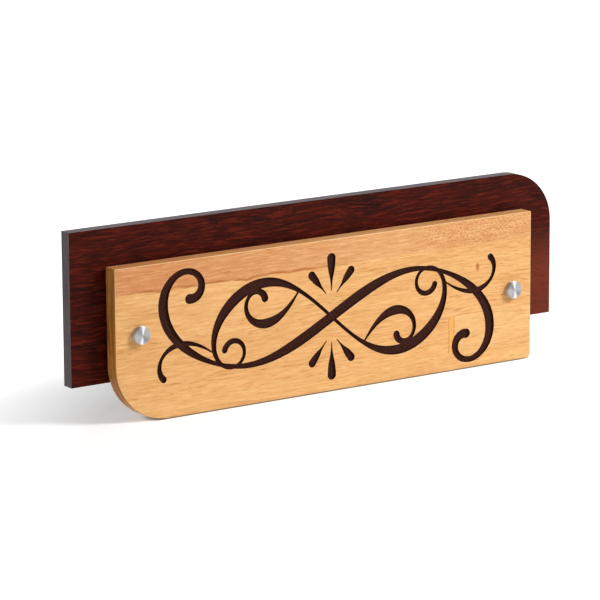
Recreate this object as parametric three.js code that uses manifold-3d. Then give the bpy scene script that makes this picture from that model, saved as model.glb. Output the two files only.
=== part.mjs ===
// A two-board name plate for a wall or door. A pale board glued up from staves stands off a dark board
// on two capped fixings, and two keyhole hangers are let into the back of the dark board.
// Millimetres, +X along the plate to the reader's right, +Z up, and the front faces -Y.
// The origin is the middle of the dark board's back face, which lies on the wall.
import * as THREE from 'three';
import { mergeVertices } from 'three/addons/utils/BufferGeometryUtils.js';
import Module from 'manifold-3d';

const wasm = await Module();
wasm.setup();

// Dark back board
const BACK_WIDTH = 457;
const BACK_HEIGHT = 120;
const BACK_THICKNESS = 11;
const BACK_CORNER_RADIUS = 42;

// Pale front board, and how far it stands in from the left of the back board and hangs below it
const FRONT_WIDTH = 395;
const FRONT_HEIGHT = 122;
const FRONT_THICKNESS = 13;
const FRONT_CORNER_RADIUS = 46;
const FRONT_SMALL_RADIUS = 4;
const FRONT_SETBACK = 30;
const FRONT_DROP = 31;

// Staves of the front board, from below, and the finger joint that joins the lower one end to end
const BOTTOM_STAVE_HEIGHT = 14.5;
const LOWER_STAVE_HEIGHT = 30;
const TOP_STAVE_HEIGHT = 21;
const END_JOINT_FROM_LEFT = 315;
const FINGER_LENGTH = 5;
const FINGER_COUNT = 4;
const FINGER_GLUE_GAP = 0.1;

// Places of the two fixings on the front board
const LEFT_FIXING_INSET = 21.5;
const LEFT_FIXING_HEIGHT = 69;
const RIGHT_FIXING_INSET = 19;
const RIGHT_FIXING_HEIGHT = 59.5;

// Turned cap on its threaded base disc, with a soft washer in its mouth
const CAP_RADIUS = 7;
const CAP_DEPTH = 3.8;
const CAP_FACE_THICKNESS = 1.2;
const CAP_CHAMFER = 0.25;
const DISC_RADIUS = 5.5;
const DISC_HEIGHT = 2.4;
const THREAD_CLEARANCE = 0.1;
const WASHER_THICKNESS = 0.4;
const WASHER_SETBACK = 0.3;

// Countersunk screw through the front board into the back board, and the spacer between the boards
const SCREW_LENGTH = 25;
const SCREW_SHANK_RADIUS = 2;
const SCREW_HEAD_RADIUS = 4;
const SCREW_TIP_LENGTH = 3;
const SCREW_HOLE_CLEARANCE = 0.25;
const SCREW_SEAT_CLEARANCE = 0.1;
const PILOT_EXTRA_DEPTH = 0.6;
const SPACER_THICKNESS = 3;
const SPACER_RADIUS = 7.5;

// Keyhole hanger plate, let in flush, with a pocket behind it for the head of the wall screw
const HANGER_SPACING = 300;
const HANGER_BELOW_TOP = 35;
const HANGER_LENGTH = 44;
const HANGER_WIDTH = 16;
const HANGER_THICKNESS = 1.6;
const HANGER_CORNER_RADIUS = 3;
const HANGER_RECESS_CLEARANCE = 0.3;
const KEYHOLE_ENTRY_RADIUS = 4.5;
const KEYHOLE_ENTRY_DROP = 4;
const KEYHOLE_SLOT_WIDTH = 4.8;
const KEYHOLE_RISE = 11;
const HEAD_POCKET_WIDTH = 10;
const HEAD_POCKET_DEPTH = 4.5;

// Screws that hold a hanger plate
const HANGER_SCREW_SPACING = 34;
const HANGER_SCREW_LENGTH = 8;
const HANGER_SCREW_SHANK_RADIUS = 1.25;
const HANGER_SCREW_HEAD_RADIUS = 2.6;
const HANGER_SCREW_TIP_LENGTH = 1.5;

// How finely round shapes are divided
const CORNER_STEPS = 20;
const ROUND_STEPS = 48;
const SCREW_STEPS = 28;

// Cutting tools run this far past the faces that they cut through
const CUT_OVERRUN = 1;

// Heights and depths worked out from the sizes above
const frontLeft = -BACK_WIDTH / 2 + FRONT_SETBACK;
const frontRight = frontLeft + FRONT_WIDTH;
const frontBottom = -BACK_HEIGHT / 2 - FRONT_DROP;
const frontTop = frontBottom + FRONT_HEIGHT;
const backFrontFace = -BACK_THICKNESS;
const frontBackFace = backFrontFace - SPACER_THICKNESS;
const frontFace = frontBackFace - FRONT_THICKNESS;
const hangerHeight = BACK_HEIGHT / 2 - HANGER_BELOW_TOP;
const keyholeEntry = -KEYHOLE_ENTRY_DROP;
const keyholeTop = keyholeEntry + KEYHOLE_RISE;
const screwHeadY = -DISC_HEIGHT;

const fixings = [
  { side: 'left', x: frontLeft + LEFT_FIXING_INSET, z: frontBottom + LEFT_FIXING_HEIGHT },
  { side: 'right', x: frontRight - RIGHT_FIXING_INSET, z: frontBottom + RIGHT_FIXING_HEIGHT },
];
const hangers = [
  { side: 'left', x: -HANGER_SPACING / 2, z: hangerHeight },
  { side: 'right', x: HANGER_SPACING / 2, z: hangerHeight },
];
const hangerScrewRows = [
  { row: 'upper', z: HANGER_SCREW_SPACING / 2 },
  { row: 'lower', z: -HANGER_SCREW_SPACING / 2 },
];

const paleWood = { color: 0xeeb877, roughness: 0.55, metalness: 0 };
const darkWood = { color: 0x5a1f18, roughness: 0.4, metalness: 0 };
const turnedSteel = { color: 0xc9cbcd, roughness: 0.28, metalness: 1 };
const platedSteel = { color: 0xb9b6a8, roughness: 0.4, metalness: 1 };
const softPlastic = { color: 0xd8d8d4, roughness: 0.5, metalness: 0 };
const blackRubber = { color: 0x1c1a19, roughness: 0.8, metalness: 0 };

// A three.js geometry as a solid that can be cut and joined
function toSolid(geometry) {
  geometry.deleteAttribute('normal');
  geometry.deleteAttribute('uv');
  const merged = mergeVertices(geometry);
  return new wasm.Manifold(new wasm.Mesh({
    numProp: 3,
    vertProperties: new Float32Array(merged.attributes.position.array),
    triVerts: new Uint32Array(merged.index.array),
  }));
}

// A solid as a three.js geometry again
function toGeometry(solid) {
  const { vertProperties, triVerts } = solid.getMesh();
  const geometry = new THREE.BufferGeometry();
  geometry.setAttribute('position', new THREE.BufferAttribute(vertProperties, 3));
  geometry.setIndex(new THREE.BufferAttribute(triVerts, 1));
  geometry.computeVertexNormals();
  return geometry;
}

// The outline of a rectangle in X and Z, with a radius of its own at each corner, anticlockwise
function roundedOutline(left, bottom, width, height, radii) {
  const right = left + width;
  const top = bottom + height;
  const corners = [
    { x: left, z: bottom, inX: 1, inZ: 1, start: Math.PI, radius: radii.bottomLeft ?? 0 },
    { x: right, z: bottom, inX: -1, inZ: 1, start: 1.5 * Math.PI, radius: radii.bottomRight ?? 0 },
    { x: right, z: top, inX: -1, inZ: -1, start: 0, radius: radii.topRight ?? 0 },
    { x: left, z: top, inX: 1, inZ: -1, start: 0.5 * Math.PI, radius: radii.topLeft ?? 0 },
  ];
  return corners.flatMap(({ x, z, inX, inZ, start, radius }) => {
    if (radius === 0) return [new THREE.Vector2(x, z)];
    return Array.from({ length: CORNER_STEPS + 1 }, (_, step) => {
      const angle = start + (step / CORNER_STEPS) * (Math.PI / 2);
      return new THREE.Vector2(
        x + inX * radius + radius * Math.cos(angle),
        z + inZ * radius + radius * Math.sin(angle),
      );
    });
  });
}

function equalRadii(radius) {
  return { bottomLeft: radius, bottomRight: radius, topRight: radius, topLeft: radius };
}

// An upright stadium outline centred on X = 0, from the centre of its lower round end to the upper one
function stadiumOutline(width, lowCentre, highCentre) {
  const radius = width / 2;
  const halfTurn = (centre, start) => Array.from({ length: CORNER_STEPS + 1 }, (_, step) => {
    const angle = start + (step / CORNER_STEPS) * Math.PI;
    return new THREE.Vector2(radius * Math.cos(angle), centre + radius * Math.sin(angle));
  });
  return [...halfTurn(highCentre, 0), ...halfTurn(lowCentre, Math.PI)];
}

// A plate with the given X-Z outline, between two depths along Y
function plate(outline, frontY, backY) {
  const geometry = new THREE.ExtrudeGeometry(new THREE.Shape(outline), {
    depth: backY - frontY,
    bevelEnabled: false,
  });
  geometry.rotateX(Math.PI / 2);
  geometry.translate(0, backY, 0);
  return toSolid(geometry);
}

// A block between two corners, used to part the front board into its staves
function block(left, right, bottom, top) {
  const depth = FRONT_THICKNESS + 2 * CUT_OVERRUN;
  const geometry = new THREE.BoxGeometry(right - left, depth, top - bottom);
  geometry.translate((left + right) / 2, (frontFace + frontBackFace) / 2, (bottom + top) / 2);
  return toSolid(geometry);
}

// A round rod along Y between two depths
function rod(radius, frontY, backY, steps) {
  const geometry = new THREE.CylinderGeometry(radius, radius, backY - frontY, steps);
  geometry.translate(0, (frontY + backY) / 2, 0);
  return toSolid(geometry);
}

// A solid turned about the Y axis from [radius, depth] points, which start and end on the axis
function turned(points, steps) {
  const profile = points.map(([radius, depth]) => new THREE.Vector2(radius, depth));
  return toSolid(new THREE.LatheGeometry(profile, steps));
}

// A countersunk wood screw along +Y, with the flat top of its head at Y = 0
function countersunkScrew(length, shankRadius, headRadius, tipLength) {
  return turned([
    [0, 0],
    [headRadius, 0],
    [shankRadius, headRadius - shankRadius],
    [shankRadius, length - tipLength],
    [0, length],
  ], SCREW_STEPS);
}

// The cutter for such a screw's head and for the hole that its shank passes, from Y = 0 inwards
function countersink(headRadius, holeRadius, depth) {
  return turned([
    [0, -CUT_OVERRUN],
    [headRadius + CUT_OVERRUN, -CUT_OVERRUN],
    [holeRadius, headRadius - holeRadius],
    [holeRadius, depth + CUT_OVERRUN],
    [0, depth + CUT_OVERRUN],
  ], SCREW_STEPS);
}

// A flat ring along Y
function ring(innerRadius, outerRadius, frontY, backY) {
  const bore = rod(innerRadius, frontY - CUT_OVERRUN, backY + CUT_OVERRUN, ROUND_STEPS);
  return rod(outerRadius, frontY, backY, ROUND_STEPS).subtract(bore);
}

function mesh(name, solid, finish) {
  const made = new THREE.Mesh(toGeometry(solid), new THREE.MeshStandardMaterial(finish));
  made.name = name;
  return made;
}

// The front board in one piece: a large radius at its lower left and a small one at its lower right
function frontBoard() {
  const outline = roundedOutline(frontLeft, frontBottom, FRONT_WIDTH, FRONT_HEIGHT, {
    bottomLeft: FRONT_CORNER_RADIUS,
    bottomRight: FRONT_SMALL_RADIUS,
  });
  let board = plate(outline, frontFace, frontBackFace);
  for (const { x, z } of fixings) {
    const holeRadius = SCREW_SHANK_RADIUS + SCREW_HOLE_CLEARANCE;
    const hole = rod(holeRadius, frontFace - CUT_OVERRUN, frontBackFace + CUT_OVERRUN, SCREW_STEPS);
    board = board.subtract(hole.translate([x, 0, z]));
  }
  return board;
}

// The lower stave's length on one side of the finger joint, as a prism that reaches past the board's end.
// Its fingers are cut through the thickness, so that the face shows them as a plain strip.
function fingeredPrism(endX, jointX, bottom, top) {
  const halfPitch = FRONT_THICKNESS / FINGER_COUNT / 2;
  const fingers = Array.from({ length: 2 * FINGER_COUNT + 1 }, (_, point) => new THREE.Vector2(
    jointX + (point % 2 === 0 ? -1 : 1) * (FINGER_LENGTH / 2),
    frontFace + point * halfPitch,
  ));
  const outline = [
    new THREE.Vector2(endX, frontFace - CUT_OVERRUN),
    new THREE.Vector2(fingers[0].x, frontFace - CUT_OVERRUN),
    ...fingers,
    new THREE.Vector2(fingers.at(-1).x, frontBackFace + CUT_OVERRUN),
    new THREE.Vector2(endX, frontBackFace + CUT_OVERRUN),
  ];
  const geometry = new THREE.ExtrudeGeometry(new THREE.Shape(outline), {
    depth: top - bottom,
    bevelEnabled: false,
  });
  geometry.translate(0, 0, bottom);
  return toSolid(geometry);
}

// The staves that the front board is glued up from
function frontStaves() {
  const board = frontBoard();
  const bottomSeam = frontBottom + BOTTOM_STAVE_HEIGHT;
  const lowerSeam = bottomSeam + LOWER_STAVE_HEIGHT;
  const topSeam = frontTop - TOP_STAVE_HEIGHT;
  const left = frontLeft - CUT_OVERRUN;
  const right = frontRight + CUT_OVERRUN;
  const joint = frontLeft + END_JOINT_FROM_LEFT;
  const glued = FINGER_GLUE_GAP / 2;
  const staves = {
    top: block(left, right, topSeam, frontTop + CUT_OVERRUN),
    middle: block(left, right, lowerSeam, topSeam),
    lower_left: fingeredPrism(left, joint - glued, bottomSeam, lowerSeam),
    lower_right: fingeredPrism(right, joint + glued, bottomSeam, lowerSeam),
    bottom: block(left, right, frontBottom - CUT_OVERRUN, bottomSeam),
  };
  return Object.entries(staves).map(([place, space]) => (
    mesh(`front_stave_${place}`, board.intersect(space), paleWood)
  ));
}

// The recess, head pocket and screw holes that one hanger needs in the back board
function hangerCutter() {
  const grown = 2 * HANGER_RECESS_CLEARANCE;
  const recess = plate(
    roundedOutline(
      -(HANGER_WIDTH + grown) / 2,
      -(HANGER_LENGTH + grown) / 2,
      HANGER_WIDTH + grown,
      HANGER_LENGTH + grown,
      equalRadii(HANGER_CORNER_RADIUS + HANGER_RECESS_CLEARANCE),
    ),
    -HANGER_THICKNESS,
    CUT_OVERRUN,
  );
  const pocket = plate(
    stadiumOutline(HEAD_POCKET_WIDTH, keyholeEntry, keyholeTop),
    -HANGER_THICKNESS - HEAD_POCKET_DEPTH,
    CUT_OVERRUN,
  );
  const pilotRadius = HANGER_SCREW_SHANK_RADIUS + SCREW_SEAT_CLEARANCE;
  const pilotDepth = HANGER_SCREW_LENGTH + PILOT_EXTRA_DEPTH;
  const pilots = hangerScrewRows.map(({ z }) => (
    rod(pilotRadius, -pilotDepth, CUT_OVERRUN, SCREW_STEPS).translate([0, 0, z])
  ));
  return pilots.reduce((cutter, pilot) => cutter.add(pilot), recess.add(pocket));
}

// The back board, with its large upper right radius, the screws' pilot holes and the hangers' recesses
function backBoard() {
  const outline = roundedOutline(-BACK_WIDTH / 2, -BACK_HEIGHT / 2, BACK_WIDTH, BACK_HEIGHT, {
    topRight: BACK_CORNER_RADIUS,
  });
  let board = plate(outline, backFrontFace, 0);
  const tipY = screwHeadY + SCREW_LENGTH;
  for (const { x, z } of fixings) {
    const pilotRadius = SCREW_SHANK_RADIUS + SCREW_SEAT_CLEARANCE;
    const pilotBottom = frontFace + tipY + PILOT_EXTRA_DEPTH;
    const pilot = rod(pilotRadius, backFrontFace - CUT_OVERRUN, pilotBottom, SCREW_STEPS);
    board = board.subtract(pilot.translate([x, 0, z]));
  }
  for (const { x, z } of hangers) {
    board = board.subtract(hangerCutter().translate([x, 0, z]));
  }
  return mesh('back_board', board, darkWood);
}

// The turned cap: closed in front, and bored behind for the thread of the base disc
function cap() {
  const rim = -WASHER_THICKNESS;
  const front = rim - CAP_DEPTH;
  const boreEnd = front + CAP_FACE_THICKNESS;
  const boreRadius = DISC_RADIUS + THREAD_CLEARANCE;
  return turned([
    [0, front],
    [CAP_RADIUS - CAP_CHAMFER, front],
    [CAP_RADIUS, front + CAP_CHAMFER],
    [CAP_RADIUS, rim],
    [boreRadius, rim],
    [boreRadius, boreEnd],
    [0, boreEnd],
  ], ROUND_STEPS);
}

// The threaded base disc under the cap, countersunk for the screw's head
function baseDisc() {
  const sink = countersink(
    SCREW_HEAD_RADIUS + SCREW_SEAT_CLEARANCE,
    SCREW_SHANK_RADIUS + SCREW_SEAT_CLEARANCE,
    DISC_HEIGHT,
  );
  return rod(DISC_RADIUS, -DISC_HEIGHT, 0, ROUND_STEPS).subtract(sink.translate([0, -DISC_HEIGHT, 0]));
}

// One fixing, with the front board's face at Y = 0: cap, washer, base disc, screw and board spacer
function fixing({ side, x, z }) {
  const group = new THREE.Group();
  const washer = ring(DISC_RADIUS + THREAD_CLEARANCE, CAP_RADIUS - WASHER_SETBACK, -WASHER_THICKNESS, 0);
  const spacerBore = SCREW_SHANK_RADIUS + SCREW_HOLE_CLEARANCE;
  const spacerEnd = FRONT_THICKNESS + SPACER_THICKNESS;
  const screw = countersunkScrew(SCREW_LENGTH, SCREW_SHANK_RADIUS, SCREW_HEAD_RADIUS, SCREW_TIP_LENGTH);
  group.add(
    mesh(`${side}_cap`, cap(), turnedSteel),
    mesh(`${side}_cap_washer`, washer, softPlastic),
    mesh(`${side}_base_disc`, baseDisc(), platedSteel),
    mesh(`${side}_board_screw`, screw.translate([0, screwHeadY, 0]), platedSteel),
    mesh(`${side}_spacer`, ring(spacerBore, SPACER_RADIUS, FRONT_THICKNESS, spacerEnd), blackRubber),
  );
  group.position.set(x, frontFace, z);
  return group;
}

// The keyhole plate: a round entry that a wall screw's head passes, and a slot above it for its shank
function hangerPlate() {
  const outline = roundedOutline(
    -HANGER_WIDTH / 2,
    -HANGER_LENGTH / 2,
    HANGER_WIDTH,
    HANGER_LENGTH,
    equalRadii(HANGER_CORNER_RADIUS),
  );
  const entry = rod(KEYHOLE_ENTRY_RADIUS, -HANGER_THICKNESS - CUT_OVERRUN, CUT_OVERRUN, SCREW_STEPS);
  const slot = plate(
    stadiumOutline(KEYHOLE_SLOT_WIDTH, keyholeEntry, keyholeTop),
    -HANGER_THICKNESS - CUT_OVERRUN,
    CUT_OVERRUN,
  );
  let made = plate(outline, -HANGER_THICKNESS, 0)
    .subtract(entry.translate([0, 0, keyholeEntry]))
    .subtract(slot);
  for (const { z } of hangerScrewRows) {
    const sink = countersink(
      HANGER_SCREW_HEAD_RADIUS + SCREW_SEAT_CLEARANCE,
      HANGER_SCREW_SHANK_RADIUS + SCREW_SEAT_CLEARANCE,
      HANGER_THICKNESS,
    );
    made = made.subtract(sink.rotate([0, 0, 180]).translate([0, 0, z]));
  }
  return made;
}

// One hanger with its two screws, whose heads are flush with the back
function hanger({ side, x, z }) {
  const group = new THREE.Group();
  group.add(mesh(`${side}_hanger`, hangerPlate(), platedSteel));
  for (const { row, z: screwZ } of hangerScrewRows) {
    const solid = countersunkScrew(
      HANGER_SCREW_LENGTH,
      HANGER_SCREW_SHANK_RADIUS,
      HANGER_SCREW_HEAD_RADIUS,
      HANGER_SCREW_TIP_LENGTH,
    );
    const screw = mesh(`${side}_hanger_screw_${row}`, solid, platedSteel);
    screw.rotation.z = Math.PI;
    screw.position.z = screwZ;
    group.add(screw);
  }
  group.position.set(x, 0, z);
  return group;
}

const namePlate = new THREE.Group();
namePlate.add(backBoard(), ...frontStaves(), ...fixings.map(fixing), ...hangers.map(hanger));

export default namePlate;
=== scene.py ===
"""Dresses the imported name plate: a pale glued board with an engraved scroll, standing off a dark stained
board on two capped fixings. Everything is in metres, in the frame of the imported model."""

import math

import bmesh
import bpy
from bpy.props import FloatProperty, FloatVectorProperty, IntProperty, PointerProperty
from mathutils import Matrix, Vector


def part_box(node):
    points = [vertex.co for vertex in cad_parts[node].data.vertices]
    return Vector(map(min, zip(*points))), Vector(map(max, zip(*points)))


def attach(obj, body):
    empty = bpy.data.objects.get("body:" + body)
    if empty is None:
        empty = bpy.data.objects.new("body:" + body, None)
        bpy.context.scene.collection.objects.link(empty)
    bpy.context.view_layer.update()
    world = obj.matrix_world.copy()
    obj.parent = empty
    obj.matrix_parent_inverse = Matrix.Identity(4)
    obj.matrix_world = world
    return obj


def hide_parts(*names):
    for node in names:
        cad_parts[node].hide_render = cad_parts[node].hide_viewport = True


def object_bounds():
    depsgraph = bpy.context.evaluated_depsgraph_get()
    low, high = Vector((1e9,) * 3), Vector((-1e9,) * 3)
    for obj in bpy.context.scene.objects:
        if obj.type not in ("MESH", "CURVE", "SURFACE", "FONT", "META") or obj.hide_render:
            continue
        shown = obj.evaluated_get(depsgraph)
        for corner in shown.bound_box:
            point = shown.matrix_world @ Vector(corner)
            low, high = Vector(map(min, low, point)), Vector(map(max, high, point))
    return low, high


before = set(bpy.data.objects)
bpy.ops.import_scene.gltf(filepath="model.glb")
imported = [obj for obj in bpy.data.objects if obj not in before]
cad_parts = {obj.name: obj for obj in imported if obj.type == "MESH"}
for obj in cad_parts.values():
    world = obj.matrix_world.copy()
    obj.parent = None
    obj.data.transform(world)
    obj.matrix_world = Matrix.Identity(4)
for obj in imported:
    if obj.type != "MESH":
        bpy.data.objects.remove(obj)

bl_info = {
    "name": "Two-board name plate",
    "version": (1, 0, 0),
    "blender": (4, 5, 0),
    "location": "View3D > Sidebar > Name plate",
    "description": "Builds the boards, fixings, hangers and stage of a wall name plate",
    "category": "Object",
}

MM = 0.001
DECIMETRE = 0.1
CAD_BOX = [list(corner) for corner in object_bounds()]
BODY = "plate"
SIDES = ["left", "right"]
HANGER_ROWS = ["upper", "lower"]
# Noise mostly stays between these two values
NOISE_LOW, NOISE_HIGH = 0.3, 0.7
# A reach in millimetres that takes a patch through a board's whole thickness
THROUGH = 400


def linear(code):
    """An sRGB hex colour as linear red, green and blue."""
    channels = [int(code[place:place + 2], 16) / 255 for place in (1, 3, 5)]
    return [c / 12.92 if c <= 0.04045 else ((c + 0.055) / 1.055) ** 2.4 for c in channels]


def tone(name, share=1.0):
    """One of the plate's colours with full alpha, for a node's socket, times a share."""
    return (*[channel * share for channel in getattr(bpy.context.scene.plate_colours, name)], 1.0)


# Sizes and colours that a user would change

def length(name, description, millimetres):
    return FloatProperty(name=name, description=description, default=millimetres * MM, unit="LENGTH",
                         subtype="DISTANCE", precision=5)


def colour(name, description, code):
    return FloatVectorProperty(name=name, description=description, default=linear(code), size=3,
                               min=0.0, max=1.0, subtype="COLOR")


def number(name, description, value):
    return FloatProperty(name=name, description=description, default=value)


class BoardSizes(bpy.types.PropertyGroup):
    front_radius: length("Front radius", "Large radius at the pale board's lower left", 46)
    front_small_radius: length("Front small radius", "Eased lower right corner of the pale board", 4)
    back_radius: length("Back radius", "Large radius at the dark board's upper right", 42)
    arris: length("Arris", "How far the boards' sharp edges are broken", 0.45)
    finger_length: length("Finger length", "Width of the strip that the finger joint shows", 5)
    arc_steps: IntProperty(name="Arc steps", description="Steps in a rounded corner", default=28)


class EngravingSizes(bpy.types.PropertyGroup):
    depth: length("Depth", "How deep the scroll is cut", 1.6)
    centre_from_left: length("Centre from left", "Middle of the scroll, from the board's left end", 198)
    centre_height: length("Centre height", "Middle of the scroll, from the board's lower edge", 60)


class FixingSizes(bpy.types.PropertyGroup):
    hole_radius: length("Hole radius", "Screw holes through the pale board", 2.25)
    cap_face: length("Cap face", "Thickness of the cap's front", 1.2)
    cap_clearance: length("Cap clearance", "Space round the disc inside the cap", 0.1)
    cap_rim: length("Cap rim", "Chamfer at the cap's mouth", 0.15)
    cap_edge: length("Cap edge", "Rounding of the cap's front edge", 0.35)
    thread_pitch: length("Thread pitch", "Pitch of the wood screws' threads", 1.4)
    thread_height: length("Thread height", "Height of the wood screws' threads", 0.35)
    recess_width: length("Recess width", "Arm width of the cross recess in a screw head", 0.7)
    board_shank: length("Board screw shank", "Radius of a board screw's shank", 2.0)
    hanger_shank: length("Hanger screw shank", "Radius of a hanger screw's shank", 1.25)


class PlateColours(bpy.types.PropertyGroup):
    honey: colour("Honey", "Main tone of the pale wood", "#F1B775")
    amber: colour("Amber", "Darker bands of the pale wood", "#D8954F")
    # Also the painted highlight on the pale board's broken edges that look up or aside
    cream_and_painted_highlight: colour("Cream", "Lightest fibres of the pale wood", "#FCD595")
    rose_tan: colour("Rose tan", "Pinker tone of the top stave", "#DE9D67")
    blush: colour("Blush", "Tint that deepens the top stave's left end", "#F2DCD6")
    glue_line: colour("Glue line", "Yellower wood at the finger joint", "#F3AE55")
    vessel: colour("Vessel", "Open pores of the pale wood", "#B5601A")
    # Also the painted shade on the pale board's broken edges that look down
    end_grain_and_painted_shade: colour("Pale end", "End grain of the pale wood", "#9E5920")
    end_ring: colour("End ring", "Lighter rings in the end grain", "#E09A4A")
    groove: colour("Groove", "Floor of the engraving", "#442017")
    # Char on the engraving's floor, and also the painted shade on its walls
    scorch: colour("Scorch", "Burnt walls of the engraving", "#170A07")
    mahogany: colour("Mahogany", "Main tone of the dark stain", "#450F06")
    russet: colour("Russet", "Redder wood at the dark board's right end", "#7A3826")
    ember: colour("Ember", "Bright red streaks in the dark stain", "#832C17")
    umber: colour("Umber", "Nearly black streaks in the dark stain", "#1A0705")
    dark_end: colour("Dark end", "Raw sawn edges of the dark board", "#7B7174")
    steel: colour("Steel", "Turned stainless steel", "#C2C3C5")
    zinc: colour("Zinc", "Zinc plating", "#B4B6B4")
    rubber: colour("Rubber", "Black rubber", "#1E1C1B")
    vinyl: colour("Vinyl", "Soft clear plastic", "#D9DAD6")


class StageSettings(bpy.types.PropertyGroup):
    key_power: number("Key power", "Lamp at the upper right, in watts", 55.0)
    fill_power: number("Fill power", "Lamp at the left, in watts", 4.0)
    world_strength: number("World strength", "Even light on matt surfaces", 0.31)
    room_strength: number("Room strength", "The room in front, as metal mirrors it", 0.1)
    floor_lift: number("Floor lift", "Glow that makes the lit floor look white", 0.34)
    # Also the glow behind the plate, where it paints the cast shadow fading out
    far_floor_lift: number("Far floor lift", "The same, away from the plate", 0.7)
    floor_tone: colour("Floor tone", "Matt white floor", "#F6F6F6")
    # Painted contact shadow: a grey line laid on the floor along the front board's foot
    painted_contact_shadow_tone: colour("Contact tone", "Floor in the thin gap under the front board's edge", "#5C5E66")


# Small tools

def add(tree, kind, inputs=(), **settings):
    """Adds a node. inputs, listed in order or mapped by socket, are values, sockets that feed it, or nodes
    whose first output does."""
    made = tree.nodes.new(kind)
    for name, value in settings.items():
        setattr(made, name, value)
    for key, value in inputs.items() if isinstance(inputs, dict) else enumerate(inputs):
        if isinstance(value, bpy.types.Node):
            value = value.outputs[0]
        if isinstance(value, bpy.types.NodeSocket):
            tree.links.new(value, made.inputs[key])
        else:
            made.inputs[key].default_value = value
    return made


def blank_material(name):
    """A material with no nodes, and its tree."""
    material = bpy.data.materials.new(name)
    material.use_nodes = True
    material.node_tree.nodes.clear()
    return material, material.node_tree


def shade(tree, inputs):
    """Ends a material with its shader and output."""
    shader = add(tree, "ShaderNodeBsdfPrincipled", inputs)
    add(tree, "ShaderNodeOutputMaterial", {"Surface": shader})


def link_object(name, mesh):
    made = bpy.data.objects.new(name, mesh)
    bpy.context.scene.collection.objects.link(made)
    return made


def mesh_from(shape, name):
    """Turns a bmesh into an object whose place is in its mesh."""
    mesh = bpy.data.meshes.new(name)
    bmesh.ops.recalc_face_normals(shape, faces=shape.faces)
    shape.to_mesh(mesh)
    shape.free()
    return link_object(name, mesh)


def settle(made, replaced, body=BODY):
    """Says what a finished piece rides on and what it stands for."""
    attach(made, body)
    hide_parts(*replaced)


def apply_modifiers(made):
    """Bakes an object's modifiers into a plain mesh."""
    depsgraph = bpy.context.evaluated_depsgraph_get()
    mesh = bpy.data.meshes.new_from_object(made.evaluated_get(depsgraph), depsgraph=depsgraph)
    made.modifiers.clear()
    made.data = mesh


# Materials

def millimetre_coordinates(tree, shift=(0, 0, 0)):
    """Object coordinates in millimetres, moved by a shift of their own so that no two pieces match."""
    place = add(tree, "ShaderNodeTexCoord").outputs["Object"]
    scaled = add(tree, "ShaderNodeVectorMath", {0: place, "Scale": 1 / MM}, operation="SCALE")
    return add(tree, "ShaderNodeVectorMath", [scaled, shift], operation="ADD")


def stretched_noise(tree, place, per_mm, detail, roughness=0.55):
    """Noise with its own number of cycles per millimetre along X, Y and Z."""
    sized = add(tree, "ShaderNodeVectorMath", [place, per_mm], operation="MULTIPLY")
    return add(tree, "ShaderNodeTexNoise", {
        "Vector": sized, "Scale": 1.0, "Detail": detail, "Roughness": roughness,
    })


def laid_over(tree, under, over, pattern, low=0.0, high=1.0, most=1.0):
    """Lays a colour over another where a pattern passes from low to high, by a share up to most. Either
    colour may be named."""
    under, over = [tone(hue) if isinstance(hue, str) else hue for hue in (under, over)]
    share = add(tree, "ShaderNodeMapRange", {0: pattern, 1: low, 2: high, 4: most})
    return add(tree, "ShaderNodeMix", {0: share, 6: under, 7: over}, data_type="RGBA").outputs[2]


def facing(tree, axis, low=0.6, high=0.8):
    """1 on faces that look along an axis either way, 0 elsewhere."""
    normal = add(tree, "ShaderNodeNewGeometry").outputs["True Normal"]
    parts = add(tree, "ShaderNodeSeparateXYZ", [normal]).outputs
    size = add(tree, "ShaderNodeMath", [parts[axis]], operation="ABSOLUTE")
    return add(tree, "ShaderNodeMapRange", [size, low, high])


def arris_share(tree):
    """1 on the broken edges, whose faces look neither straight ahead nor straight to a side."""
    off_side = facing(tree, "Y", 0.05, 0.2)
    off_face = facing(tree, "Y", 0.99, 0.95)
    return add(tree, "ShaderNodeMath", [off_side, off_face], operation="MULTIPLY")


def soft_patch(tree, place, centre, reach):
    """1 in the middle of an ellipse given in millimetres, falling to 0 at its edge."""
    away = add(tree, "ShaderNodeVectorMath", [place, centre], operation="SUBTRACT")
    shares = [1 / size for size in reach]
    sized = add(tree, "ShaderNodeVectorMath", [away, shares], operation="MULTIPLY")
    distance = add(tree, "ShaderNodeVectorMath", [sized], operation="LENGTH").outputs["Value"]
    return add(tree, "ShaderNodeMapRange", [distance, 1.0, 0.55])


def near_plane(tree, value, middle, half_width, full=0.3):
    """1 on a plane and out to a share of the half width, then falling to 0 at the half width."""
    away = add(tree, "ShaderNodeMath", [value, middle], operation="SUBTRACT")
    size = add(tree, "ShaderNodeMath", [away], operation="ABSOLUTE")
    return add(tree, "ShaderNodeMapRange", [size, half_width, half_width * full])


def bent_grain(tree, place, sway, wave):
    """Moves a place up and down by slow and quick waves in millimetres, so that grain drawn on it bends."""
    lift = 0.0
    for size, per_mm, detail in ((sway, (0.006, 0.02, 0.02), 1.0), (wave, (0.05, 0.08, 0.08), 2.0)):
        noise = stretched_noise(tree, place, per_mm, detail)
        bend = add(tree, "ShaderNodeMapRange", [noise, NOISE_LOW, NOISE_HIGH, -size, size])
        lift = add(tree, "ShaderNodeMath", [bend, lift], operation="ADD")
    upward = add(tree, "ShaderNodeCombineXYZ", {"Z": lift})
    return add(tree, "ShaderNodeVectorMath", [place, upward], operation="ADD")


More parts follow.
